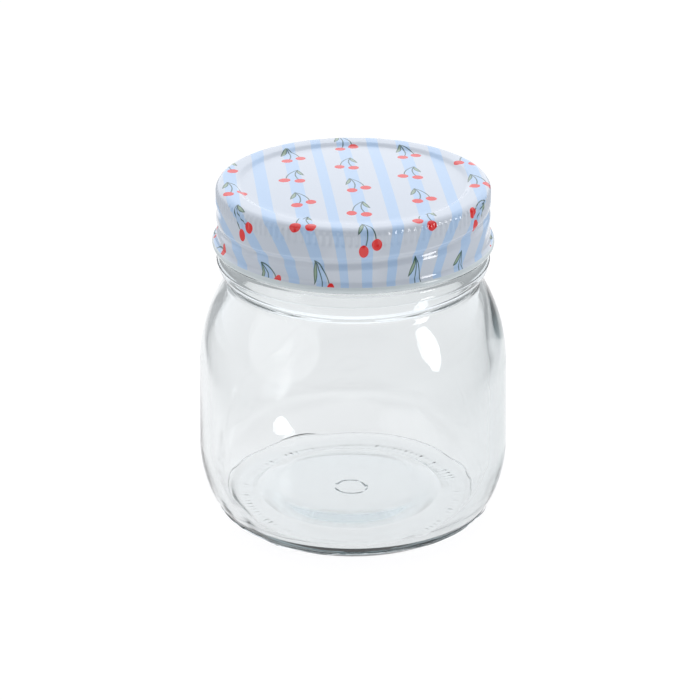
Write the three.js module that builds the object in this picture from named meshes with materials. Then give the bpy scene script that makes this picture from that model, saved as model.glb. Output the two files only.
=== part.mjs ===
// A small round glass jar, empty, closed by a one-piece screw lid of printed tinplate.
// Millimetres, +Z up. The origin is the centre of the ring that the jar stands on.
// The front is -Y, where the print on the lid faces the viewer.

import * as THREE from 'three';

const SEGMENTS = 52;

// The jar's body, from the ring it stands on up to the neck.
const BODY = {
  wall: 3.25,
  footWall: 3.4,
  ringInnerRadius: 28.0,
  ringOuterRadius: 30.0,
  radiusAboveHeel: 41.0,
  radiusBelowShoulder: 40.5,
  heelTop: 20.1,
  shoulderStart: 42.1,
  shoulderArc: 42.7,
  neckHeight: 66.0,
};

// The thick base: a hollow under it, and inside a level floor with a low plateau in its middle.
const BASE = {
  hollowDepth: 2.0,
  cornerAngle: -0.9,
  cornerReach: 0.9,
  landingReach: 3.0,
  floorHeight: 5.0,
  plateauFootRadius: 24.7,
  plateauRadius: 18.2,
  plateauRise: 1.6,
  crown: 1.0,
};

// The round bead below the lid, which the mould's neck ring leaves on the glass.
const BEAD = {
  radius: 35.4,
  height: 71.9,
  halfHeight: 3.5,
  topCorner: 74.3,
  lean: 0.5,
};

// The threaded finish that the lid screws onto, and the lip that it seals on.
const FINISH = {
  foot: 74.6,
  radius: 33.1,
  top: 91.7,
  lipArc: 1.2,
  boreRadius: 30.4,
};

// The lid's sheet, formed into a sunk panel, a rim, a skirt and a rolled hem.
const LID = {
  sheet: 0.4,
  top: 92.5,
  panelHeight: 91.7,
  panelRadius: 28.8,
  panelCrown: 0.75,
  panelRings: 4,
  rimInnerRadius: 30.6,
  radius: 35.5,
  shoulderArc: 2.0,
  skirtFoot: 78.4,
};

// The roll of sheet round the lid's lower edge.
const HEM = {
  centreRadius: 35.6,
  centreHeight: 76.7,
  arc: 1.05,
};

// Two right-hand starts, each a little over half a turn, rise by LEAD in a full turn.
const THREAD = {
  lead: 9.0,
  starts: 2,
  halfSpan: THREE.MathUtils.degToRad(112),
  fade: THREE.MathUtils.degToRad(26),
  grooveHeight: 83.5,
  grooveDepth: 0.7,
  grooveHalfWidth: 1.7,
  ridgeDepth: 1.0,
  ridgeHalfWidth: 1.2,
  rings: 11,
};

const QUARTER = Math.PI / 2;

// Points on an ellipse about a centre, from one angle to another, both ends included.
function arc(centreRadius, centreHeight, radial, vertical, from, to, steps) {
  const points = [];
  for (let i = 0; i <= steps; i += 1) {
    const angle = THREE.MathUtils.lerp(from, to, i / steps);
    const radius = centreRadius + radial * Math.cos(angle);
    points.push(new THREE.Vector2(radius, centreHeight + vertical * Math.sin(angle)));
  }
  return points;
}

// Evenly spaced points up or down a straight wall, both ends included.
function wall(radius, from, to, steps) {
  const points = [];
  for (let i = 0; i <= steps; i += 1) {
    points.push(new THREE.Vector2(radius, THREE.MathUtils.lerp(from, to, i / steps)));
  }
  return points;
}

function at(radius, height) {
  return new THREE.Vector2(radius, height);
}

// Points of a cubic curve between two places, shaped by two handles. Its first point is left out.
function curveOn(start, startHandle, endHandle, end, steps) {
  const curve = new THREE.CubicBezierCurve(start, startHandle, endHandle, end);
  return curve.getPoints(steps).slice(1);
}

// Turns a closed outline about the Z axis. Its first and last points are on the axis.
function turned(outline) {
  const geometry = new THREE.LatheGeometry(outline, SEGMENTS);
  geometry.rotateX(QUARTER);
  return geometry;
}

// How strongly a screw thread stands at a place on the wall: 1 on its centre line, 0 clear of it.
// Each start climbs evenly through its own centre, and fades out near its two ends.
function threadStrength(angle, height, centreHeight, halfWidth) {
  let strength = 0;
  for (let start = 0; start < THREAD.starts; start += 1) {
    const turn = angle - (start * 2 * Math.PI) / THREAD.starts;
    const fromCentre = Math.atan2(Math.sin(turn), Math.cos(turn));
    const line = centreHeight + (THREAD.lead * fromCentre) / (2 * Math.PI);
    const across = Math.min(1, Math.abs(height - line) / halfWidth);
    const left = (THREAD.halfSpan - Math.abs(fromCentre)) / THREAD.fade;
    const along = THREE.MathUtils.smoothstep(left, 0, 1);
    strength = Math.max(strength, along * Math.cos(across * QUARTER) ** 2);
  }
  return strength;
}

// Moves the vertices beyond a radius in or out by depth times the thread's strength there.
function rollThread(geometry, beyondRadius, centreHeight, halfWidth, depth) {
  const position = geometry.getAttribute('position');
  for (let i = 0; i < position.count; i += 1) {
    const x = position.getX(i);
    const y = position.getY(i);
    const radius = Math.hypot(x, y);
    const angle = Math.atan2(x, -y);
    if (radius > beyondRadius) {
      const strength = threadStrength(angle, position.getZ(i), centreHeight, halfWidth);
      const scale = (radius + depth * strength) / radius;
      position.setXY(i, x * scale, y * scale);
    }
  }
}

// The thread's rings of vertices span the heights that its starts climb through.
function threadBand(centreHeight, halfWidth) {
  const climb = (THREAD.lead * THREAD.halfSpan) / (2 * Math.PI);
  return { low: centreHeight - climb - halfWidth, high: centreHeight + climb + halfWidth };
}

// The hollow under the base: it falls from the axis to the ring, ever more steeply.
function hollowOutline() {
  return [0, 10, 16, 21, 25, BODY.ringInnerRadius].map((radius) => {
    const share = radius / BODY.ringInnerRadius;
    return at(radius, BASE.hollowDepth * (1 - share ** 2));
  });
}

// The hollow under the base, then the flat ring, the round heel, the side and the shoulder.
function bodyOutline() {
  const heelRadial = BODY.radiusAboveHeel - BODY.ringOuterRadius;
  const shoulderCentre = BODY.radiusBelowShoulder - BODY.shoulderArc;
  const neckAngle = Math.asin((BODY.neckHeight - BODY.shoulderStart) / BODY.shoulderArc);
  return [
    ...hollowOutline(),
    ...arc(BODY.ringOuterRadius, BODY.heelTop, heelRadial, BODY.heelTop, -QUARTER, 0, 9),
    ...arc(shoulderCentre, BODY.shoulderStart, BODY.shoulderArc, BODY.shoulderArc, 0, neckAngle, 6),
  ];
}

// The waist under the bead, the bead's face, and the step in to the foot of the finish.
function beadOutline(neck) {
  const neckHandle = at(neck.x - 0.5, neck.y + 0.75);
  const beadHandle = at(BEAD.radius, BEAD.height - BEAD.halfHeight);
  return [
    ...curveOn(neck, neckHandle, beadHandle, at(BEAD.radius, BEAD.height), 6),
    at(BEAD.radius - BEAD.lean, BEAD.topCorner),
    at(FINISH.radius, FINISH.foot),
  ];
}

// The threaded wall, the round lip and the bore inside it.
function finishOutline() {
  const ridge = threadBand(THREAD.grooveHeight + THREAD.lead / 4, THREAD.ridgeHalfWidth);
  const lipCentre = FINISH.top - FINISH.lipArc;
  const lipInner = FINISH.boreRadius + FINISH.lipArc;
  return [
    ...wall(FINISH.radius, ridge.low, ridge.high, THREAD.rings),
    ...arc(FINISH.radius - FINISH.lipArc, lipCentre, FINISH.lipArc, FINISH.lipArc, 0, QUARTER, 2),
    ...arc(lipInner, lipCentre, FINISH.lipArc, FINISH.lipArc, QUARTER, 2 * QUARTER, 2),
  ];
}

// The inner heel runs beside the outer one, a wall's thickness in, down to the floor's corner.
function innerHeelOutline(steps) {
  const heelRadial = BODY.radiusAboveHeel - BODY.ringOuterRadius;
  const outer = arc(
    BODY.ringOuterRadius, BODY.heelTop, heelRadial, BODY.heelTop, 0, BASE.cornerAngle, steps,
  );
  return outer.map((point, i) => {
    const angle = (BASE.cornerAngle * i) / steps;
    const normal = at(Math.cos(angle) / heelRadial, Math.sin(angle) / BODY.heelTop).normalize();
    const thickness = THREE.MathUtils.lerp(BODY.wall, BODY.footWall, i / steps);
    return point.addScaledVector(normal, -thickness);
  });
}

// The floor's height: level at first, a climb that eases off to the plateau, and a low crown.
function floorHeightAt(radius) {
  const climb = (BASE.plateauFootRadius - radius) / (BASE.plateauFootRadius - BASE.plateauRadius);
  const share = Math.min(1, climb);
  const crown = BASE.crown * (1 - (radius / BASE.plateauFootRadius) ** 2);
  return BASE.floorHeight + BASE.plateauRise * share * (1.6 - 0.6 * share) + crown;
}

// The inside, down from the neck: the shoulder, the side, the round inner heel and the floor.
function insideOutline() {
  const shoulderCentre = BODY.radiusBelowShoulder - BODY.shoulderArc;
  const innerArc = BODY.shoulderArc - BODY.wall;
  const neckAngle = Math.acos((FINISH.boreRadius - shoulderCentre) / innerArc);
  const heel = innerHeelOutline(7);
  const heelEnd = heel.at(-1);
  const corner = at(heelEnd.x - BASE.cornerReach, BASE.floorHeight);
  const landing = at(heelEnd.x - BASE.landingReach, BASE.floorHeight);
  const floorRadii = [BASE.plateauFootRadius, 22.6, 20.5, BASE.plateauRadius, 12, 0];
  return [
    at(FINISH.boreRadius, BEAD.height),
    ...arc(shoulderCentre, BODY.shoulderStart, innerArc, innerArc, neckAngle, 0, 5),
    ...heel,
    ...curveOn(heelEnd, corner, corner, landing, 4),
    ...floorRadii.map((radius) => at(radius, floorHeightAt(radius))),
  ];
}

// The jar: one piece of glass, open at its mouth, with its thread standing out from the finish.
function jarGlass() {
  const body = bodyOutline();
  const bead = beadOutline(body.at(-1));
  const geometry = turned([...body, ...bead, ...finishOutline(), ...insideOutline()]);
  const ridgeHeight = THREAD.grooveHeight + THREAD.lead / 4;
  const boreClear = (FINISH.radius + FINISH.boreRadius) / 2;
  rollThread(geometry, boreClear, ridgeHeight, THREAD.ridgeHalfWidth, THREAD.ridgeDepth);
  return geometry;
}

// The sunk panel of the lid, which rises in a low dome from its edge to the axis.
function panelOutline(inset) {
  const points = [];
  for (let i = 0; i <= LID.panelRings; i += 1) {
    const out = i / LID.panelRings;
    const height = LID.panelHeight - inset + LID.panelCrown * (1 - out ** 2);
    points.push(at(out * (LID.panelRadius + inset / 2), height));
  }
  return points;
}

// One face of the lid's sheet, from its axis out over the rim and down to the foot of the skirt.
function sheetOutline(inset) {
  const shoulderRadius = LID.radius - LID.shoulderArc;
  const shoulderHeight = LID.top - LID.shoulderArc;
  const turn = LID.shoulderArc - inset;
  const groove = threadBand(THREAD.grooveHeight, THREAD.grooveHalfWidth);
  return [
    ...panelOutline(inset),
    at((LID.panelRadius + LID.rimInnerRadius + inset) / 2, LID.top - 0.25 - inset),
    at(LID.rimInnerRadius, LID.top - inset),
    ...arc(shoulderRadius, shoulderHeight, turn, turn, QUARTER, 0, 4),
    ...wall(LID.radius - inset, groove.high, groove.low, THREAD.rings),
  ];
}

// The hem's round section, from where the skirt flares into it, out, under and back up inside.
function hemOutline() {
  const flare = THREE.MathUtils.degToRad(62);
  const back = THREE.MathUtils.degToRad(-215);
  return [
    at(LID.radius, LID.skirtFoot),
    ...arc(HEM.centreRadius, HEM.centreHeight, HEM.arc, HEM.arc, flare, back, 8),
    at(LID.radius - LID.sheet, LID.skirtFoot),
  ];
}

// The lid: thin sheet whose thread is pressed into the skirt, so both of its faces move in.
function screwLid() {
  const inner = sheetOutline(LID.sheet).reverse();
  const outline = [...sheetOutline(0), ...hemOutline(), ...inner].reverse();
  const geometry = turned(outline);
  const skirtOnly = LID.radius - 2 * LID.sheet;
  rollThread(
    geometry, skirtOnly, THREAD.grooveHeight, THREAD.grooveHalfWidth, -THREAD.grooveDepth,
  );
  return geometry;
}

function piece(name, geometry, material) {
  const mesh = new THREE.Mesh(geometry, material);
  mesh.name = name;
  return mesh;
}

const clearGlass = new THREE.MeshStandardMaterial({
  color: 0xdfe9e7,
  roughness: 0.04,
  metalness: 0,
  transparent: true,
  opacity: 0.35,
});

const printedTinplate = new THREE.MeshStandardMaterial({
  color: 0xdde6f3,
  roughness: 0.22,
  metalness: 0,
});

const jamJar = new THREE.Group();
jamJar.add(piece('jar_glass', jarGlass(), clearGlass));
jamJar.add(piece('screw_lid', screwLid(), printedTinplate));

export default jamJar;
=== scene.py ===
import logging
import math
from dataclasses import dataclass
from enum import Enum
from typing import ClassVar, NamedTuple

import bpy
import numpy as np
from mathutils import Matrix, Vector


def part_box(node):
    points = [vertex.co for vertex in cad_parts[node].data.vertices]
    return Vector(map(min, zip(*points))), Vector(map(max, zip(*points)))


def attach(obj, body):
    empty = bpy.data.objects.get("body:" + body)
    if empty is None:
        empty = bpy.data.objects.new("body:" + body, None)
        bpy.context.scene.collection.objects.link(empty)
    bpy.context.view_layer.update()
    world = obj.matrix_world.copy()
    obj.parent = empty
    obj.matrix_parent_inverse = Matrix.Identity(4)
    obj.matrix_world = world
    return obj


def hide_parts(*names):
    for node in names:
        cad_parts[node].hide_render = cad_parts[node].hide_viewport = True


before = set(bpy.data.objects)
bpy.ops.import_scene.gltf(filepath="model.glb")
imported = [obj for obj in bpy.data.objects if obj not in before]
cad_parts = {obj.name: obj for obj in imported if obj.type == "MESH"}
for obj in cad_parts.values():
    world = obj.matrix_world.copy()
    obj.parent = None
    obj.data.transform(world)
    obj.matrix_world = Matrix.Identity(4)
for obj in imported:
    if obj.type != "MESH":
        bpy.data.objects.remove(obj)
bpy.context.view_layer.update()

MM = 0.001
QUARTER = math.pi / 2
FULL_TURN = 2 * math.pi

Array = np.ndarray
Point = tuple[float, float]
Place = tuple[float, float, float]
Colour = tuple[float, float, float, float]

log = logging.getLogger("jam_jar")


class MaterialSlot(Enum):
    """The record's material slots."""

    CLEAR_GLASS = "clear_glass"
    PRINTED_TINPLATE = "printed_tinplate"


def radius_of(node: str) -> float:
    """Radius of a turned CAD node at its widest, in millimetres."""
    return round(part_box(node)[1].x / MM, 2)


def top_of(node: str) -> float:
    """Height of a CAD node's highest point, in millimetres."""
    return round(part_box(node)[1].z / MM, 2)


# Outlines: rows of radius and height in millimetres


def round_arc(centre: Point, size: float, start: float, end: float, steps: int) -> Array:
    """Points of a circle, even in angle: centre + size (cos a, sin a).

    Args:
        centre: radius and height of the circle's middle.
        size: the circle's own radius.
        start: first angle in radians.
        end: last angle in radians.
        steps: number of stretches.

    Returns:
        steps + 1 rows of radius and height.
    """
    angle = np.linspace(start, end, steps + 1)
    return np.stack([centre[0] + size * np.cos(angle), centre[1] + size * np.sin(angle)], 1)


def straight(first: Point, last: Point, steps: int) -> Array:
    """Points of a line, first (1 - t) + last t, as steps + 1 rows."""
    share = np.linspace(0, 1, steps + 1)[:, None]
    return np.array(first) * (1 - share) + np.array(last) * share


def bezier(start: Point, leaving: Point, arriving: Point, end: Point, steps: int) -> Array:
    """Points of a cubic curve, weighted (1-t)^3, 3t(1-t)^2, 3t^2(1-t) and t^3.

    Args:
        start: radius and height where the curve starts.
        leaving: the handle that it leaves the start towards.
        arriving: the handle that it comes to the end from.
        end: where it ends.
        steps: number of stretches.

    Returns:
        steps + 1 rows of radius and height.
    """
    share = np.linspace(0, 1, steps + 1)[:, None]
    weights = ((1 - share) ** 3, 3 * share * (1 - share) ** 2, 3 * share**2 * (1 - share), share**3)
    corners = (start, leaving, arriving, end)
    return sum(weight * np.array(corner) for weight, corner in zip(weights, corners))


def stations(stops: tuple[float, ...], steps: tuple[int, ...]) -> Array:
    """Numbers that run from stop to stop, evenly between each two.

    Args:
        stops: where the spacing changes, with both ends.
        steps: how many stretches lie between each two stops.

    Returns:
        All the numbers, each stop once.
    """
    runs = [np.linspace(a, b, n + 1)[1:] for a, b, n in zip(stops, stops[1:], steps)]
    return np.concatenate([[stops[0]], *runs])


def chained(*stretches: Array) -> Array:
    """Joins stretches end to end and drops each point that repeats the one before it.

    Args:
        stretches: rows of radius and height, in order.

    Returns:
        The rows of the whole outline.
    """
    points = np.concatenate(stretches)
    step = np.hypot(*np.diff(points, axis=0).T)
    return points[np.concatenate([[True], step > 1e-6])]


def smoothstep(value: Array) -> Array:
    """3t^2 - 2t^3 with t held between 0 and 1."""
    share = np.clip(value, 0, 1)
    return share * share * (3 - 2 * share)


def bell(value: Array) -> Array:
    """cos^2 of a quarter turn times the value: 1 at 0, and 0 from 1 on."""
    return np.cos(np.clip(np.abs(value), 0, 1) * QUARTER) ** 2


def flat_radius(outline: Array) -> Array:
    """Radius that each point of a drawn outline had on the flat sheet.

    Drawing keeps the sheet's area, so the radius is the root of twice the sum of r ds.

    Args:
        outline: rows of radius and height, from the axis outwards.

    Returns:
        One flat radius for each row, in millimetres.
    """
    step = np.hypot(*np.diff(outline, axis=0).T)
    middle = (outline[1:, 0] + outline[:-1, 0]) / 2
    return np.sqrt(np.concatenate([[0.0], np.cumsum(2 * middle * step)]))


@dataclass(frozen=True)
class Ripple:
    """An uneven ring: middle + swing times the sum of cos(k a + phase) / k^fall, held in limits.

    The sum runs over whole counts k, and is scaled to values of about -1 to 1.
    """

    counts: range
    fall: float
    seed: int
    middle: float = 0.0
    swing: float = 1.0
    limits: tuple[float, float] = (-math.inf, math.inf)

    def at(self, angle: Array) -> Array:
        """The ring's value at some angles.

        Args:
            angle: radians round the axis.

        Returns:
            One value for each angle.
        """
        phases = np.random.default_rng(self.seed).uniform(0, FULL_TURN, len(self.counts))
        weights = np.array([float(k) ** -self.fall for k in self.counts])
        terms = [w * np.cos(k * angle + p) for k, w, p in zip(self.counts, weights, phases)]
        value = sum(terms) / np.sqrt((weights**2).sum())
        return np.clip(self.middle + self.swing * value, *self.limits)


class Turning:
    """A closed surface turned about the axis, whose rings may be uneven, in millimetres.

    Each ring holds a radius and a height for every angle, counted from the front. The mask
    up_to_top is true from the outline's start to its highest point.
    """

    def __init__(self, outline: Array, around: int) -> None:
        """Turns an outline, whose first and last points lie on the axis.

        Args:
            outline: rows of radius and height, with the solid on the left of their way.
            around: how many points a ring has.
        """
        self.outline = outline
        self.angle = np.linspace(0, FULL_TURN, around, endpoint=False)[None, :]
        self.radius = np.repeat(outline[:, :1], around, 1)
        self.height = np.repeat(outline[:, 1:], around, 1)
        self.up_to_top = np.arange(len(outline))[:, None] <= np.argmax(outline[:, 1])

    def widen(self, amount: Array, where: Array) -> None:
        """Moves the surface away from the axis by an amount, where the mask is true."""
        self.radius = self.radius + np.where(where, amount, 0)

    def lift(self, amount: Array, where: Array) -> None:
        """Moves the surface up by an amount, where the mask is true."""
        self.height = self.height + np.where(where, amount, 0)

    def slide(self, amount: Array) -> None:
        """Moves the surface along its own outline, by amount times the outline's direction.

        Args:
            amount: millimetres towards the outline's end, for each ring and angle.
        """
        direction = np.gradient(self.outline, axis=0)
        direction /= np.hypot(*direction.T)[:, None]
        self.radius = self.radius + amount * direction[:, :1]
        self.height = self.height + amount * direction[:, 1:]

    def by_vertex(self, values: Array) -> Array:
        """Puts values of the rings or angles in the mesh's vertex order, its two poles first."""
        grid = np.broadcast_to(values, self.radius.shape)
        return np.concatenate([[grid[0, 0], grid[-1, 0]], grid[1:-1].ravel()])

    def mesh(self, name: str) -> bpy.types.Mesh:
        """The surface as a mesh, where the point at angle a is (r sin a, -r cos a, z).

        The first and the last ring become one vertex each, on the axis.

        Args:
            name: the mesh's name.

        Returns:
            The mesh, in metres, smooth, with its faces outward.
        """
        rings, around = self.radius.shape
        across, away = self.radius * np.sin(self.angle), -self.radius * np.cos(self.angle)
        grid = np.stack([across, away, self.height], -1)[1:-1]
        poles = np.array([[0, 0, self.height[0].mean()], [0, 0, self.height[-1].mean()]])
        points = np.concatenate([poles, grid.reshape(-1, 3)]) * MM

        index = 2 + np.arange((rings - 2) * around).reshape(rings - 2, around)
        ahead = np.roll(index, -1, axis=1)
        quads = np.stack([index[:-1], ahead[:-1], ahead[1:], index[1:]], -1).reshape(-1, 4)
        first = np.stack([np.zeros(around, int), ahead[0], index[0]], -1)
        last = np.stack([np.ones(around, int), index[-1], ahead[-1]], -1)
        mesh = bpy.data.meshes.new(name)
        mesh.from_pydata(points, [], first.tolist() + quads.tolist() + last.tolist())
        mesh.shade_smooth()
        return mesh


# Node trees, written as expressions


class Wire:
    """A node's output, with arithmetic that adds the nodes it needs."""

    def __init__(self, graph: "Graph", socket: bpy.types.NodeSocket) -> None:
        """Keeps the socket and the graph it belongs to."""
        self.graph = graph
        self.socket = socket

    def apply(self, operation: str, *others: "Wire | float | tuple", clamp: bool = False) -> "Wire":
        """Feeds this value and others to a Math node, or to Vector Math where this is a vector.

        Args:
            operation: the node's operation.
            others: its further inputs, in order.
            clamp: whether a Math node holds its result between 0 and 1.

        Returns:
            The result.
        """
        settings = {"operation": operation}
        if self.socket.type == "VECTOR":
            kind = "ShaderNodeVectorMath"
        else:
            kind = "ShaderNodeMath"
            settings["use_clamp"] = clamp
        output = "Value" if operation in ("DOT_PRODUCT", "DISTANCE") else 0
        return self.graph.node(kind, settings, dict(enumerate((self, *others))), output)

    def within(self, softness: float) -> "Wire":
        """1 where this signed distance is below 0, and 0 above, over a soft edge that wide."""
        return self.apply("MULTIPLY_ADD", -1 / softness, 0.5, clamp=True)

    def __add__(self, other: "Wire | float | tuple") -> "Wire":
        """Sum."""
        return self.apply("ADD", other)

    __radd__ = __add__

    def __mul__(self, other: "Wire | float | tuple") -> "Wire":
        """Product."""
        return self.apply("MULTIPLY", other)

    __rmul__ = __mul__

    def __sub__(self, other: "Wire | float | tuple") -> "Wire":
        """Difference."""
        return self.apply("SUBTRACT", other)

    def __rsub__(self, other: float) -> "Wire":
        """Difference from a number."""
        return self * -1.0 + other

    def __truediv__(self, other: "Wire | float") -> "Wire":
        """Quotient."""
        return self.apply("DIVIDE", other)

    def __abs__(self) -> "Wire":
        """Size without its sign."""
        return self.apply("ABSOLUTE")


class Graph:
    """A material's or world's node tree."""

    def __init__(self, tree: bpy.types.NodeTree) -> None:
        """Empties the tree."""
        self.tree = tree
        tree.nodes.clear()

    def node(
        self,
        kind: str,
        settings: dict[str, object],
        inputs: dict[str | int, object],
        output: str | int = 0,
    ) -> Wire:
        """Adds a node, sets its settings, then its sockets.

        Args:
            kind: the node's type.
            settings: its own properties.
            inputs: value or wire of each input, by name or place.
            output: name or place of the output that is returned.

        Returns:
            That output.
        """
        made = self.tree.nodes.new(kind)
        for key, value in settings.items():
            setattr(made, key, value)
        for key, value in inputs.items():
            if isinstance(value, Wire):
                self.tree.links.new(value.socket, made.inputs[key])
            else:
                made.inputs[key].default_value = value
        return Wire(self, made.outputs[output])

    def ends_in(self, kind: str, **sockets: Wire) -> None:
        """Adds the tree's output node.

        Args:
            kind: the node's type.
            sockets: the wire that each of its inputs takes.
        """
        made = self.tree.nodes.new(kind)
        for key, wire in sockets.items():
            self.tree.links.new(wire.socket, made.inputs[key])

    def mix(self, factor: Wire, low: "Wire | Colour", high: "Wire | Colour") -> Wire:
        """Colour that goes from low to high as the factor goes from 0 to 1."""
        settings = {"data_type": "RGBA", "clamp_factor": True}
        return self.node("ShaderNodeMix", settings, {0: factor, 6: low, 7: high}, 2)

    def ramp(self, value: Wire, start: float, end: float, low: float, high: float) -> Wire:
        """A smoothstep from low to high as the value goes from start to end."""
        limits = {"Value": value, "From Min": start, "From Max": end, "To Min": low, "To Max": high}
        return self.node("ShaderNodeMapRange", {"interpolation_type": "SMOOTHSTEP"}, limits)


class Finish:
    """A finish, told by the main shader's sockets and by what fills the body."""

    name: ClassVar[str]

    def sockets(self, graph: Graph) -> dict[str, object]:
        """Value or wire of each socket that isn't left as it is."""
        raise NotImplementedError

    def body(self, graph: Graph) -> dict[str, Wire]:
        """What fills the body, by the output's socket. Nothing, unless a finish says so."""
        return {}

    def material(self) -> bpy.types.Material:
        """Makes the finish's material.

        Returns:
            The material.
        """
        material = bpy.data.materials.new(self.name)
        material.use_nodes = True
        graph = Graph(material.node_tree)
        surface = graph.node("ShaderNodeBsdfPrincipled", {}, self.sockets(graph))
        graph.ends_in("ShaderNodeOutputMaterial", Surface=surface, **self.body(graph))
        return material


def shade(red: float, green: float, blue: float) -> Colour:
    """A linear colour with full alpha."""
    return (red, green, blue, 1.0)


# The screw thread


@dataclass(frozen=True)
class ScrewThread:
    """The right-hand thread that the lid and the glass share. Heights are at the front."""

    lead: float = 9.0
    starts: int = 2
    half_span: float = math.radians(112)
    fade: float = math.radians(26)
    groove_height: float = 83.5
    groove_depth: float = 0.7
    groove_half: float = 1.7
    ridge_depth: float = 1.0
    ridge_half: float = 1.2

    @property
    def ridge_height(self) -> float:
        """The glass ridge bears on the upper flank of the lid's next turn."""
        return self.groove_height + self.lead / 4

    def strength(self, turned: Turning, centre: float, half_width: float) -> Array:
        """How far the thread stands out: a bell across a line that climbs with the angle.

        Args:
            turned: the surface that carries it.
            centre: height of the line at the middle of each start.
            half_width: half the thread's width.

        Returns:
            1 on the thread's line, 0 clear of it, fading at both ends of each start.
        """
        result = np.zeros(turned.height.shape)
        for start in range(self.starts):
            turn = turned.angle - start * FULL_TURN / self.starts
            from_centre = np.arctan2(np.sin(turn), np.cos(turn))
            line = centre + self.lead * from_centre / FULL_TURN
            along = smoothstep((self.half_span - np.abs(from_centre)) / self.fade)
            result = np.maximum(result, along * bell((turned.height - line) / half_width))
        return result


THREAD = ScrewThread()


# The glass


@dataclass(frozen=True)
class ClearGlass(Finish):
    """Polished container glass, whose faint cold green tint deepens with light's way through it."""

    name = "clear_glass"
    index: float = 1.52
    body_tint: Colour = shade(0.0, 0.15, 0.18)
    body_density: float = 29.0

    def sockets(self, graph: Graph) -> dict[str, object]:
        """Smooth and clear."""
        clear = {"Base Color": shade(1.0, 1.0, 1.0), "Roughness": 0.0, "Transmission Weight": 1.0}
        return {**clear, "IOR": self.index}

    def body(self, graph: Graph) -> dict[str, Wire]:
        """The tint, by absorption."""
        tint = {"Color": self.body_tint, "Density": self.body_density}
        return {"Volume": graph.node("ShaderNodeVolumeAbsorption", {}, tint)}


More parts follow.
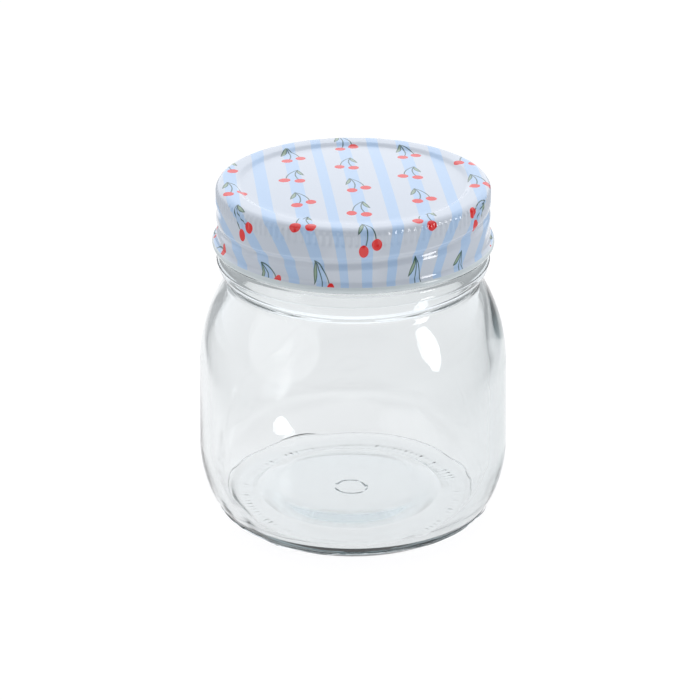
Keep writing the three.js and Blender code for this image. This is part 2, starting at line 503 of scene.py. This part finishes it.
@dataclass(frozen=True)
class JarGlass:
    """The jar's glass: round body, thick base, neck bead and threaded finish.

    Lengths are in millimetres, and heights are above the surface that the jar stands on.
    """

    # Under the base
    ring_inner: float = 28.0
    ring_outer: float = 30.0
    hollow_depth: float = 2.0
    mark_radius: float = 4.1
    mark_height: float = 0.28
    mark_width: float = 0.4
    mark_reach: float = 1.2
    mark_wear: Ripple = Ripple(
        range(2, 9), fall=0.2, seed=3, middle=0.75, swing=0.5, limits=(0.1, 1.2)
    )
    stipple_bars: int = 105
    steps_per_bar: int = 3
    stipple_radius: float = 29.2
    stipple_reach: float = 2.2
    stipple_depth: float = 0.26
    stipple_wear: Ripple = Ripple(
        range(2, 40), fall=0.3, seed=11, middle=0.5, swing=0.5, limits=(0.05, 1.3)
    )

    # Heel, side and shoulder
    radius_above_heel: float = radius_of("jar_glass")
    radius_below_shoulder: float = 40.5
    heel_top: float = 20.1
    shoulder_start: float = 42.1
    shoulder_arc: float = 42.7
    neck_height: float = 66.0
    parting_angle: float = math.radians(-56.2)
    parting_span: float = 0.035
    parting_depth: float = 0.34
    parting_half: float = 0.3
    parting_wander: float = 0.5
    parting_reach: float = 6.0
    parting_ripple: Ripple = Ripple(range(2, 22), fall=0.7, seed=21)

    # Waist, bead and finish
    waist_handle: Point = (-0.5, 0.75)
    bead_root: float = 33.1
    bead_radius: float = 35.4
    bead_height: float = 71.9
    bead_half: float = 3.15
    bead_lean: float = 0.5
    bead_top: float = 74.3
    seam_depth: float = 0.18
    seam_half: float = 0.15
    finish_foot: float = 74.6
    finish_top: float = top_of("jar_glass")
    lip_arc: float = 1.2
    bore: float = 30.4

    # Inside
    wall: float = 3.25
    heel_wall: float = 3.4
    corner_angle: float = -0.9
    corner_reach: float = 0.9
    landing_reach: float = 3.0
    floor_edge: float = 5.0
    crease: float = 0.15
    trough_radius: float = 24.7
    plateau_radius: float = 18.2
    plateau_rise: float = 1.5
    plateau_bend: float = 0.55
    plateau_crown: float = 1.0
    plateau_lean: float = 0.3

    # Unevenness of the inside
    settle_depth: float = 0.18
    settle_height: float = 9.0
    settle_inset: float = 1.0
    settle_width: float = 6.0
    settle_ripple: Ripple = Ripple(range(3, 30), fall=0.8, seed=4)
    wander_depth: float = 0.11
    wander_height: float = 28.0
    wander_reach: float = 30.0
    wander_twist: float = 0.02
    wander_ripple: Ripple = Ripple(range(2, 9), fall=1.0, seed=7)
    wall_shift: float = 0.7
    shift_below_neck: float = 4.0
    shift_fade: float = 14.0

    finish: ClearGlass = ClearGlass()

    @property
    def shoulder_centre(self) -> Point:
        """Radius and height of the shoulder arc's middle."""
        return (self.radius_below_shoulder - self.shoulder_arc, self.shoulder_start)

    def under_side(self) -> Array:
        """The hollow under the base, depth (1 - share^2), and the ring that the jar stands on.

        Returns:
            Its rows, from the axis outwards.
        """
        near, far = self.mark_radius - self.mark_reach, self.mark_radius + self.mark_reach
        radius = stations((0, near, far, self.ring_inner), (2, 12, 19))
        hollow = self.hollow_depth * (1 - (radius / self.ring_inner) ** 2)
        ring = straight((self.ring_inner, 0), (self.ring_outer, 0), steps=9)
        return chained(np.stack([radius, hollow], 1), ring)

    def heel(self, turn: Array) -> tuple[Array, Array]:
        """The outer heel's ellipse and its outward normal.

        Args:
            turn: angles on the ellipse, from -90 degrees at the foot to 0 at the side.

        Returns:
            Rows of radius and height, and rows of unit normals.
        """
        radial = self.radius_above_heel - self.ring_outer
        across, up = np.cos(turn), np.sin(turn)
        place = np.stack([self.ring_outer + radial * across, self.heel_top * (1 + up)], 1)
        normal = np.stack([across / radial, up / self.heel_top], 1)
        return place, normal / np.hypot(*normal.T)[:, None]

    def from_parting(self, outline: Array) -> Array:
        """Distance of each row from the mould's parting line on the heel."""
        middle, _ = self.heel(np.array([self.parting_angle]))
        return np.hypot(*(outline - middle).T)

    def out_side(self) -> Array:
        """The round heel with the mould's parting line, the side and the shoulder.

        The parting line stands out along the normal, by depth times a bell of the distance.

        Returns:
            Its rows, from the foot up to the neck.
        """
        near, far = self.parting_angle - self.parting_span, self.parting_angle + self.parting_span
        place, normal = self.heel(stations((-QUARTER, near, far, 0), (8, 12, 17)))
        seam = bell(self.from_parting(place) / self.parting_half)
        side_foot = (self.radius_above_heel, self.heel_top)
        side_top = (self.radius_below_shoulder, self.shoulder_start)
        neck = math.asin((self.neck_height - self.shoulder_start) / self.shoulder_arc)
        return chained(
            place + self.parting_depth * seam[:, None] * normal,
            straight(side_foot, side_top, steps=8),
            round_arc(self.shoulder_centre, self.shoulder_arc, 0, neck, steps=20),
        )

    def bead(self) -> Array:
        """The waist under the bead, its face with the neck ring's parting line, and its step.

        Returns:
            Its rows, from the neck up to the finish.
        """
        foot = tuple(self.out_side()[-1])
        leaving = (foot[0] + self.waist_handle[0], foot[1] + self.waist_handle[1])
        arriving = (self.bead_radius, self.bead_height - self.bead_half)
        seam_foot = (self.bead_radius, self.bead_height - self.seam_half)
        seam_crest = (self.bead_radius + self.seam_depth, self.bead_height)
        seam_head = (self.bead_radius, self.bead_height + self.seam_half)
        corner = (self.bead_radius - self.bead_lean, self.bead_top)
        return chained(
            bezier(foot, leaving, arriving, seam_foot, steps=14),
            straight(seam_foot, seam_crest, steps=2),
            straight(seam_crest, seam_head, steps=2),
            straight(seam_head, corner, steps=5),
            straight(corner, (self.bead_root, self.finish_foot), steps=2),
        )

    def finish_wall(self) -> Array:
        """The threaded wall, the round lip and the bore.

        Returns:
            Its rows, up the outside and down the bore.
        """
        arc, lip = self.lip_arc, self.finish_top - self.lip_arc
        return chained(
            straight((self.bead_root, self.finish_foot), (self.bead_root, lip), steps=24),
            round_arc((self.bead_root - arc, lip), arc, 0, QUARTER, steps=5),
            round_arc((self.bore + arc, lip), arc, QUARTER, 2 * QUARTER, steps=5),
            straight((self.bore, lip), (self.bore, self.bead_height), steps=8),
        )

    def plateau(self) -> Array:
        """The floor from its crease to the axis: floor + rise + crown (1 - share^2).

        The rise climbs evenly up to the bend, then eases off by e - e^2 / 2.

        Returns:
            Its rows, inwards.
        """
        bend = self.plateau_bend
        radius = stations((self.trough_radius, self.plateau_radius, 0), (19, 11))
        climb = (self.trough_radius - radius) / (self.trough_radius - self.plateau_radius)
        ease = np.clip((climb - bend) / (1 - bend), 0, 1)
        rise = np.minimum(climb, bend) + (1 - bend) * (ease - ease**2 / 2)
        rise *= self.plateau_rise / (0.5 + bend / 2)
        crown = self.plateau_crown * (1 - (radius / self.trough_radius) ** 2)
        return np.stack([radius, self.floor_edge + rise + crown], 1)

    def in_side(self) -> Array:
        """The inside, down the shoulder and the side, round the heel and over the floor.

        The heel is the outer ellipse moved inward along its normal, by a wall that thickens
        towards the foot. A curve leads from it to the level floor.

        Returns:
            Its rows, from the bore down to the axis.
        """
        arc = self.shoulder_arc - self.wall
        neck = math.acos((self.bore - self.shoulder_centre[0]) / arc)
        turn = np.linspace(0, self.corner_angle, 20)
        outer, normal = self.heel(turn)
        wall = self.wall + (self.heel_wall - self.wall) * smoothstep(turn / self.corner_angle)
        heel = outer - wall[:, None] * normal
        corner = (float(heel[-1, 0]) - self.corner_reach, self.floor_edge)
        landing = (float(heel[-1, 0]) - self.landing_reach, self.floor_edge)
        side_top = (self.shoulder_centre[0] + arc, self.shoulder_start)
        return chained(
            round_arc(self.shoulder_centre, arc, neck, 0, steps=20),
            straight(side_top, tuple(heel[0]), steps=8),
            heel,
            bezier(tuple(heel[-1]), corner, corner, landing, steps=10),
            straight(landing, (self.trough_radius + self.crease, self.floor_edge), steps=10),
            self.plateau(),
        )

    def wander_parting_line(self, glass: Turning) -> None:
        """Slides the heel along its outline by wander, a bell of the distance and a ripple."""
        near = bell(self.from_parting(glass.outline) / self.parting_reach)[:, None] * glass.up_to_top
        glass.slide(self.parting_wander * near * self.parting_ripple.at(glass.angle))

    def stipple_foot(self, glass: Turning) -> None:
        """Cuts short bars in the standing ring: a bell across it times a worn raised cosine.

        Args:
            glass: the turned glass.
        """
        across = bell((glass.radius - self.stipple_radius) / self.stipple_reach)
        bars = 0.5 + 0.5 * np.cos(self.stipple_bars * glass.angle)
        depth = self.stipple_depth * across * (bars * self.stipple_wear.at(glass.angle))
        glass.lift(depth, glass.up_to_top)

    def press_ring_mark(self, glass: Turning) -> None:
        """Adds a worn ring that stands down from the hollow, height e^-(distance / width)^2.

        Args:
            glass: the turned glass.
        """
        mark = np.exp(-(((glass.radius - self.mark_radius) / self.mark_width) ** 2))
        mark = mark * self.mark_wear.at(glass.angle)
        glass.lift(-self.mark_height * mark, glass.up_to_top)

    def lean_plateau(self, glass: Turning) -> None:
        """Raises the plateau's front and lowers its back, by lean cos a times the floor's climb.

        Args:
            glass: the turned glass.
        """
        width = self.trough_radius - self.plateau_radius
        climbed = smoothstep((self.trough_radius - glass.radius) / width)
        lean = self.plateau_lean * climbed * np.clip(glass.radius / self.plateau_radius, 0, 1)
        glass.lift(lean * np.cos(glass.angle), ~glass.up_to_top)

    def ripple_inside(self, glass: Turning) -> None:
        """Makes the wall as uneven as pressed and blown glass is.

        The heel ripples by a bell of the height above the floor and the side by a bell about
        its middle. The whole hollow lies a little to the left, by shift sin a.

        Args:
            glass: the turned glass.
        """
        inside = ~glass.up_to_top
        low = bell((glass.height - self.floor_edge) / self.settle_height)
        past_trough = glass.radius - self.trough_radius - self.settle_inset
        rim = smoothstep(past_trough / self.settle_width)
        ripple = self.settle_ripple.at(glass.angle)
        glass.widen(self.settle_depth * ripple * low * rim, inside)

        side = bell((glass.height - self.wander_height) / self.wander_reach)
        ripple = self.wander_ripple.at(glass.angle + glass.height * self.wander_twist)
        glass.widen(-self.wander_depth * side * ripple, inside)

        below_neck = self.neck_height - self.shift_below_neck - glass.height
        body = smoothstep(below_neck / self.shift_fade)
        glass.widen(-self.wall_shift * body * np.sin(glass.angle), inside)

    def build(self) -> bpy.types.Object:
        """The turned glass, from the axis under the base to the axis on the floor inside.

        Returns:
            The piece, not yet dressed.
        """
        outline = chained(
            self.under_side(), self.out_side(), self.bead(), self.finish_wall(), self.in_side()
        )
        glass = Turning(outline, self.stipple_bars * self.steps_per_bar)
        self.wander_parting_line(glass)
        ridge = THREAD.strength(glass, THREAD.ridge_height, THREAD.ridge_half)
        glass.widen(THREAD.ridge_depth * ridge, glass.up_to_top)
        self.stipple_foot(glass)
        self.press_ring_mark(glass)
        self.lean_plateau(glass)
        self.ripple_inside(glass)
        return bpy.data.objects.new("glass_body", glass.mesh("glass_body"))

    def dress(self, piece: bpy.types.Object) -> None:
        """Gives the piece its clear glass."""
        piece.data.materials.append(self.finish.material())


# The lid


@dataclass(frozen=True)
class CherryPair:
    """Two cherries on arched stems with one leaf, on the flat sheet.

    Places are millimetres from the stems' junction, right and away from the viewer, and
    column_place is how far right of its column's middle that junction lies.
    """

    column_place: float
    cherries: tuple[Point, Point]
    stem_bends: tuple[Point, Point]
    stem_ends: tuple[Point, Point]
    leaf_tip: Point
    leaf_bulges: tuple[float, float]
    junction: Point = (0.0, 0.0)
    leaf_start: Point = (0.0, -0.1)
    leaf_rim: float = 0.24
    cherry_radius: float = 1.42
    stem_width: float = 0.3


PAIR_LEAF_LEFT = CherryPair(
    column_place=-0.9,
    cherries=((0.75, -8.7), (4.25, -6.8)),
    stem_bends=((1.35, -3.5), (2.3, -2.3)),
    stem_ends=((1.3, -7.4), (3.8, -5.5)),
    leaf_tip=(-1.0, -4.8),
    leaf_bulges=(-0.9, 0.25),
)
PAIR_LEAF_RIGHT = CherryPair(
    column_place=1.1,
    cherries=((-3.05, -7.7), (0.75, -8.4)),
    stem_bends=((-1.85, -2.5), (-0.55, -3.5)),
    stem_ends=((-2.7, -6.3), (0.3, -7.1)),
    leaf_tip=(1.8, -4.4),
    leaf_bulges=(-0.2, 0.95),
)


def circle_through(first: Array, second: Array, third: Array) -> tuple[Array, float]:
    """The circle through three points, whose centre is as far from each: 2 (q - p) c = q^2 - p^2.

    Args:
        first: a point of the plane, with 0 for its third number.
        second: another.
        third: a third, not in line with them.

    Returns:
        Its centre and its radius.
    """
    rows = 2 * np.array([second[:2] - first[:2], third[:2] - first[:2]])
    sums = np.array([p[:2] @ p[:2] - first[:2] @ first[:2] for p in (second, third)])
    centre = np.linalg.solve(rows, sums)
    return np.array([*centre, 0.0]), float(np.hypot(*(centre - first[:2])))


@dataclass(frozen=True)
class SheetPrint:
    """Slanted stripes with cherry pairs down every second one, laid out on the flat sheet.

    The two pairs take turns down a column, and neighbouring columns start at two heights.
    About the drift's middle, to the left of the lid's, the print lies a little to the right.
    """

    slant: float = math.radians(5.45)
    column_pitch: float = 15.87
    cherry_stripe: float = 3.4
    plain_stripe: float = 3.0
    pair_period: float = 33.4
    even_start: float = 2.0
    odd_start: float = -6.4
    drift_middle: float = 14.0
    drift_reach: float = 14.0
    drift: float = 1.2
    softness: float = 0.16
    white: Colour = shade(0.66, 0.715, 0.80)
    blue: Colour = shade(0.47, 0.65, 0.90)
    red: Colour = shade(0.85, 0.006, 0.008)
    stem_green: Colour = shade(0.02, 0.085, 0.075)
    leaf_rim: Colour = shade(0.03, 0.10, 0.07)
    leaf_olive: Colour = shade(0.30, 0.42, 0.30)

    def turned(self, point: Point) -> Place:
        """A place right and away from the viewer, as one across and along the stripes."""
        cos, sin = math.cos(self.slant), math.sin(self.slant)
        return (point[0] * cos + point[1] * sin, point[1] * cos - point[0] * sin, 0.0)

    def stripes(self, across: Wire) -> Wire:
        """Cover of both kinds of stripe, which take turns across the sheet.

        Args:
            across: millimetres across the stripes.

        Returns:
            1 on a stripe and 0 beside it.
        """
        half = self.column_pitch / 2
        cherry = across.apply("PINGPONG", half) - self.cherry_stripe / 2
        plain = (across + half).apply("PINGPONG", half) - self.plain_stripe / 2
        return cherry.apply("MINIMUM", plain).within(self.softness)

    def stem(self, place: Wire, pair: CherryPair, bend: Point, end: Point) -> Wire:
        """Signed distance to a stem, a stroke along the circle through three points.

        Args:
            place: the place from the stems' junction, across and along the stripes.
            pair: the motif.
            bend: a point that the stem passes.
            end: where it meets its cherry.

        Returns:
            Distance to the stem's edge, below 0 inside it.
        """
        start, through, last = (np.array(self.turned(p)) for p in (pair.junction, bend, end))
        centre, radius = circle_through(start, through, last)
        ring = abs(place.apply("DISTANCE", tuple(centre)) - radius) - pair.stem_width / 2
        chord = last - start
        length = float(np.hypot(*chord[:2]))
        along = (place - tuple(start)).apply("DOT_PRODUCT", tuple(chord / length))
        past = abs(along - length / 2) - length / 2
        return ring.apply("MAXIMUM", past)

    def leaf(self, place: Wire, pair: CherryPair) -> Wire:
        """Signed distance to a leaf, bounded by two circles through its start and its tip.

        Args:
            place: the place from the stems' junction, across and along the stripes.
            pair: the motif, whose bulges are how far each edge stands off the leaf's chord.

        Returns:
            Distance to the leaf's edge, below 0 inside it.
        """
        start, tip = (np.array(self.turned(p)) for p in (pair.leaf_start, pair.leaf_tip))
        chord = tip - start
        length = float(np.hypot(*chord[:2]))
        side = np.array([-chord[1], chord[0], 0.0]) / length
        edges = []
        for bulge, outward in zip(sorted(pair.leaf_bulges), (-1, 1)):
            through = (start + tip) / 2 - side * bulge
            centre, radius = circle_through(start, through, tip)
            inside = 1.0 if outward * bulge > 0 else -1.0
            edges.append((place.apply("DISTANCE", tuple(centre)) - radius) * inside)
        return edges[0].apply("MAXIMUM", edges[1])

    def pair_over(self, colour: Wire, place: Wire, pair: CherryPair) -> Wire:
        """Prints one motif over a colour: leaf, leaf middle, stems, then cherries.

        Args:
            colour: what is printed so far.
            place: the place from the stems' junction, across and along the stripes.
            pair: the motif.

        Returns:
            The colour with the motif on it.
        """
        fruit = [place.apply("DISTANCE", self.turned(c)) - pair.cherry_radius for c in pair.cherries]
        bends = zip(pair.stem_bends, pair.stem_ends)
        stems = [self.stem(place, pair, bend, end) for bend, end in bends]
        leaf = self.leaf(place, pair)
        inks = (
            (leaf, self.leaf_rim),
            (leaf + pair.leaf_rim, self.leaf_olive),
            (stems[0].apply("MINIMUM", stems[1]), self.stem_green),
            (fruit[0].apply("MINIMUM", fruit[1]), self.red),
        )
        for distance, ink in inks:
            colour = colour.graph.mix(distance.within(self.softness), colour, ink)
        return colour

    def colour(self, graph: Graph) -> Wire:
        """The whole print as one colour, read from the mesh's flat-sheet attribute.

        Args:
            graph: where the nodes go.

        Returns:
            The print's colour.
        """
        sheet = graph.node("ShaderNodeAttribute", {"attribute_name": "flat_sheet"}, {}, "Vector")
        cos, sin = math.cos(self.slant), math.sin(self.slant)
        across = sheet.apply("DOT_PRODUCT", (cos, sin, 0.0))
        drift = graph.ramp(abs(across + self.drift_middle), 0.0, self.drift_reach, self.drift, 0.0)
        across = across - drift
        along = sheet.apply("DOT_PRODUCT", (-sin, cos, 0.0))
        colour = graph.mix(self.stripes(across), self.white, self.blue)
        column = (across / self.column_pitch).apply("ROUND")
        in_column = across - column * self.column_pitch
        start = column.apply("PINGPONG", 1.0) * (self.odd_start - self.even_start) + self.even_start
        half = self.pair_period / 2
        for pair, later in ((PAIR_LEAF_LEFT, 0.0), (PAIR_LEAF_RIGHT, half)):
            in_row = (along - start - later).apply("WRAP", half, -half)
            from_junction = {"X": in_column - pair.column_place, "Y": in_row}
            place = graph.node("ShaderNodeCombineXYZ", {}, from_junction)
            colour = self.pair_over(colour, place, pair)
        return colour


@dataclass(frozen=True)
class PrintedTinplate(Finish):
    """White-lacquered tinplate under a glossy varnish, with the striped cherry print.

    The varnish has all the gloss, and its high index veils the print at a low angle.
    """

    name = "printed_tinplate"
    artwork: SheetPrint = SheetPrint()
    roughness: float = 0.30
    varnish_roughness: float = 0.06
    varnish_index: float = 1.75

    def sockets(self, graph: Graph) -> dict[str, object]:
        """The print under its clear varnish."""
        return {
            "Base Color": self.artwork.colour(graph),
            "Roughness": self.roughness,
            "Specular IOR Level": 0.0,
            "Coat Weight": 1.0,
            "Coat Roughness": self.varnish_roughness,
            "Coat IOR": self.varnish_index,
        }


@dataclass(frozen=True)
class PlainTinplate(Finish):
    """The lid's unprinted pale lacquer, on its rolled edge and its inside."""

    name = "plain_tinplate"
    colour: Colour = shade(0.70, 0.77, 0.79)
    roughness: float = 0.22
    gloss: float = 0.5

    def sockets(self, graph: Graph) -> dict[str, object]:
        """The plain glossy lacquer."""
        return {"Base Color": self.colour, "Roughness": self.roughness, "Coat Weight": self.gloss}


class FaceSteps(NamedTuple):
    """How many stretches each part of one face of the sheet has."""

    panel: int
    step: int
    shoulder: int
    skirt: int


@dataclass(frozen=True)
class ScrewLid:
    """The lid: sunk domed panel, rim, knurled and threaded skirt, and rolled hem.

    Lengths are in millimetres, and heights are above the surface that the jar stands on.
    """

    knurls: int = 130
    steps_per_knurl: int = 6
    knurl_depth: float = 0.24
    knurl_high: float = 92.1
    knurl_high_fade: float = 0.9
    knurl_low: float = 87.6
    knurl_low_fade: float = 1.2
    knurl_inner: float = 33.0
    sheet: float = 0.4
    top: float = top_of("screw_lid")
    panel_height: float = 91.7
    panel_radius: float = 28.8
    panel_crown: float = 0.75
    rim_inner: float = 30.6
    radius: float = 35.5
    shoulder: float = 2.0
    skirt_foot: float = 78.4
    hem_radius: float = 35.6
    hem_height: float = 76.7
    hem_arc: float = 1.05
    hem_flare: float = math.radians(62)
    print_end: float = math.radians(40)
    hem_back: float = math.radians(-215)
    outer_steps: FaceSteps = FaceSteps(panel=12, step=9, shoulder=12, skirt=36)
    inner_steps: FaceSteps = FaceSteps(panel=5, step=4, shoulder=5, skirt=22)
    finish: PrintedTinplate = PrintedTinplate()
    bare: PlainTinplate = PlainTinplate()

    def face(self, inset: float, steps: FaceSteps) -> Array:
        """One face of the sheet, from the axis to the foot of the skirt.

        The panel's height is edge + crown (1 - share^2), and the step from it up to the rim
        is a smoothstep in radius.

        Args:
            inset: how far the face lies inside the sheet's outer face.
            steps: how many stretches its parts have.

        Returns:
            Rows of radius and height.
        """
        edge, inner = self.panel_height - inset, self.panel_radius + inset / 2
        share = np.linspace(0, 1, steps.panel + 1)
        panel = np.stack([share * inner, edge + self.panel_crown * (1 - share**2)], 1)
        share = np.linspace(0, 1, steps.step + 1)
        across = inner + (self.rim_inner + inset / 2 - inner) * share
        step = np.stack([across, edge + (self.top - self.panel_height) * smoothstep(share)], 1)
        centre = (self.radius - self.shoulder, self.top - self.shoulder)
        arc, wall = self.shoulder - inset, self.radius - inset
        return chained(
            panel,
            step,
            round_arc(centre, arc, QUARTER, 0, steps.shoulder),
            straight((wall, centre[1]), (wall, self.skirt_foot), steps.skirt),
        )

    def roll(self, start: float, end: float, steps: int) -> Array:
        """A stretch of the hem's round section, from one angle to another."""
        centre = (self.hem_radius, self.hem_height)
        return round_arc(centre, self.hem_arc, start, end, steps)

    def press_thread(self, lid: Turning) -> None:
        """Presses the thread's groove into both faces of the skirt, by depth times strength.

        Args:
            lid: the turned sheet.
        """
        radius, height = lid.outline[:, :1], lid.outline[:, 1:]
        skirt = (radius > self.radius - 2 * self.sheet) & (height >= self.skirt_foot)
        groove = THREAD.strength(lid, THREAD.groove_height, THREAD.groove_half)
        lid.widen(-THREAD.groove_depth * groove, skirt)

    def knurl_skirt(self, lid: Turning, printed: Array) -> None:
        """Presses the knurls: depth times a raised cosine, faded in and out by smoothsteps.

        Args:
            lid: the turned sheet.
            printed: mask of its printed rings.
        """
        from_high = smoothstep((self.knurl_high - lid.height) / self.knurl_high_fade)
        from_low = smoothstep((lid.height - self.knurl_low) / self.knurl_low_fade)
        wave = 0.5 - 0.5 * np.cos(self.knurls * lid.angle)
        depth = self.knurl_depth * (from_high * from_low) * wave
        lid.widen(-depth, printed & (lid.radius > self.knurl_inner))

    def build(self) -> bpy.types.Object:
        """The turned sheet, from the axis on its inside, round the hem, to the axis on top.

        Returns:
            The piece, not yet dressed.
        """
        flare = self.roll(self.hem_flare, self.print_end, steps=2)
        outer = chained(self.face(0, self.outer_steps), flare)
        hem = self.roll(self.print_end, self.hem_back, steps=17)
        outline = chained(outer, hem, self.face(self.sheet, self.inner_steps)[::-1])[::-1]
        lid = Turning(outline, self.knurls * self.steps_per_knurl)
        rank, first_printed = np.arange(len(outline)), len(outline) - len(outer)
        self.press_thread(lid)
        self.knurl_skirt(lid, rank[:, None] >= first_printed)
        mesh = lid.mesh("lid_sheet")
        self.lay_out_print(lid, mesh)
        bare = np.repeat(rank[:-1] <= first_printed, lid.radius.shape[1])
        mesh.polygons.foreach_set("material_index", bare.astype(np.int32))
        return bpy.data.objects.new("lid_sheet", mesh)

    def lay_out_print(self, lid: Turning, mesh: bpy.types.Mesh) -> None:
        """Writes each vertex's place on the flat sheet, rho (sin a, -cos a), to an attribute.

        Args:
            lid: the turned sheet.
            mesh: its mesh.
        """
        rho = lid.by_vertex(flat_radius(lid.outline[::-1])[::-1, None])
        turn = lid.by_vertex(lid.angle)
        place = np.stack([rho * np.sin(turn), -rho * np.cos(turn), 0 * rho], 1)
        sheet = mesh.attributes.new("flat_sheet", "FLOAT_VECTOR", "POINT")
        sheet.data.foreach_set("vector", place.astype(np.float32).ravel())

    def dress(self, piece: bpy.types.Object) -> None:
        """Gives the piece its print, and its plain lacquer where a face asks for it."""
        for finish in (self.finish, self.bare):
            piece.data.materials.append(finish.material())


# The studio


@dataclass(frozen=True)
class LightTable(Finish):
    """A pale matt floor with a painted glow, in metres.

    The glow is a painted pool of light: full in a lane behind the jar, which widens away from
    the viewer, and weaker beside it and in front. It is a product of smoothsteps across and along
    the lane.
    """

    name = "pale_floor"
    colour: Colour = shade(0.10, 0.10, 0.10)
    roughness: float = 0.9
    full_glow: Colour = shade(1.06, 1.06, 1.07)
    dim_glow: Colour = shade(0.5, 0.51, 0.52)
    strength: float = 0.9
    half: float = 0.096
    widening: float = 0.13
    front: float = -0.105
    fade: float = 0.04
    front_share: float = 0.85

    def sockets(self, graph: Graph) -> dict[str, object]:
        """The floor's colour and its glow.

        Args:
            graph: where the nodes go.

        Returns:
            Value or wire of each socket.
        """
        place = graph.node("ShaderNodeTexCoord", {}, {}, "Object")
        along = place.apply("DOT_PRODUCT", (0.0, 1.0, 0.0))
        beside = abs(place.apply("DOT_PRODUCT", (1.0, 0.0, 0.0))) - along * self.widening
        # painted pool of light: full glow in a lane behind the jar, dimmer beside it and in front
        painted_light_lane = graph.ramp(beside, self.half, self.half + self.fade, 1.0, 0.0)
        painted_light_lane = painted_light_lane * graph.ramp(along, self.front - self.fade, self.front, self.front_share, 1.0)
        return {
            "Base Color": self.colour,
            "Roughness": self.roughness,
            "Specular IOR Level": 0.0,
            "Emission Color": graph.mix(painted_light_lane, self.dim_glow, self.full_glow),
            "Emission Strength": self.strength,
        }


@dataclass(frozen=True)
class SoftBox:
    """An oval light that faces the jar, in metres and watts."""

    name: str
    place: Place
    width: float
    height: float
    power: float


@dataclass(frozen=True)
class Studio:
    """A glowing floor, a soft sky, two soft boxes and the camera, in metres."""

    floor_radius: float = 3.0
    floor_sides: int = 96
    floor_finish: LightTable = LightTable()
    sky: Colour = shade(0.785, 0.80, 0.83)
    sky_axis: Place = (0.0, 0.88, 0.475)
    sky_start: float = -0.2
    sky_end: float = 0.95
    front_light: float = 0.30
    back_light: float = 1.78
    soft_boxes: tuple[SoftBox, ...] = (
        SoftBox("left_soft_box", (-0.82, -0.47, 0.42), width=1.2, height=0.9, power=1.9),
        SoftBox("right_soft_box", (0.86, -0.44, 0.33), width=0.24, height=0.52, power=2.0),
    )
    light_bounces: int = 32
    elevation: float = math.radians(23.64)
    distance: float = 0.710
    target: Place = (-0.00085, 0.0, 0.044934)
    lens: float = 138.03
    sensor: float = 36.0
    nearest: float = 0.01

    def camera(self) -> None:
        """Places the camera at the photograph's height, distance and focal length."""
        data = bpy.data.cameras.new("camera")
        data.lens = self.lens
        data.sensor_width = self.sensor
        data.clip_start = self.nearest
        camera = bpy.data.objects.new("camera", data)
        back = Vector((0, -math.cos(self.elevation), math.sin(self.elevation)))
        camera.location = Vector(self.target) + back * self.distance
        camera.rotation_euler = back.to_track_quat("Z", "Y").to_euler()
        bpy.context.scene.collection.objects.link(camera)
        bpy.context.scene.camera = camera

    def floor(self) -> None:
        """The round floor, an even polygon of points radius (cos a, sin a)."""
        angle = np.linspace(0, FULL_TURN, self.floor_sides, endpoint=False)
        edge = np.stack([np.cos(angle), np.sin(angle), 0 * angle], 1) * self.floor_radius
        mesh = bpy.data.meshes.new("floor")
        mesh.from_pydata(edge.tolist(), [], [list(range(len(edge)))])
        mesh.materials.append(self.floor_finish.material())
        floor = bpy.data.objects.new("floor", mesh)
        bpy.context.scene.collection.objects.link(floor)

    def world(self) -> None:
        """Soft light from all round, brightest behind the jar and dim behind the camera."""
        world = bpy.data.worlds.new("studio")
        world.use_nodes = True
        graph = Graph(world.node_tree)
        direction = graph.node("ShaderNodeTexCoord", {}, {}, "Generated")
        behind = direction.apply("DOT_PRODUCT", self.sky_axis)
        share = graph.ramp(behind, self.sky_start, self.sky_end, self.front_light, self.back_light)
        light = graph.node("ShaderNodeBackground", {}, {"Color": self.sky, "Strength": share})
        graph.ends_in("ShaderNodeOutputWorld", Surface=light)
        bpy.context.scene.world = world

    def hang(self, box: SoftBox) -> None:
        """Adds a soft box and turns it to face the jar.

        Args:
            box: its place, size and power.
        """
        data = bpy.data.lights.new(box.name, "AREA")
        data.shape = "ELLIPSE"
        data.size, data.size_y = box.width, box.height
        data.energy = box.power
        light = bpy.data.objects.new(box.name, data)
        light.location = box.place
        aim = Vector(box.place) - Vector(self.target)
        light.rotation_euler = aim.to_track_quat("Z", "Y").to_euler()
        bpy.context.scene.collection.objects.link(light)

    def build(self) -> None:
        """Sets up the floor, the light and the camera."""
        self.floor()
        self.world()
        for box in self.soft_boxes:
            self.hang(box)
        self.camera()
        bpy.context.scene.view_settings.view_transform = "Standard"
        cycles = bpy.context.scene.cycles
        cycles.max_bounces = self.light_bounces
        cycles.transmission_bounces = self.light_bounces
        cycles.glossy_bounces = self.light_bounces


def place_piece(piece: bpy.types.Object, node: str) -> None:
    """Links a piece, lets it ride on the part's body and stand for its CAD node.

    Args:
        piece: the finished piece.
        node: the CAD node that it replaces.
    """
    bpy.context.scene.collection.objects.link(piece)
    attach(piece, "root")
    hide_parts(node)
    log.info("%s: %d faces, stands for %s", piece.name, len(piece.data.polygons), node)


def main() -> None:
    """Builds the studio, the glass and the lid."""
    logging.basicConfig(level=logging.INFO, format="%(name)s: %(message)s")
    Studio().build()
    for maker, node, slot in (
        (JarGlass(), "jar_glass", MaterialSlot.CLEAR_GLASS),
        (ScrewLid(), "screw_lid", MaterialSlot.PRINTED_TINPLATE),
    ):
        piece = maker.build()
        maker.dress(piece)
        place_piece(piece, node)


if __name__ == "__main__":
    main()
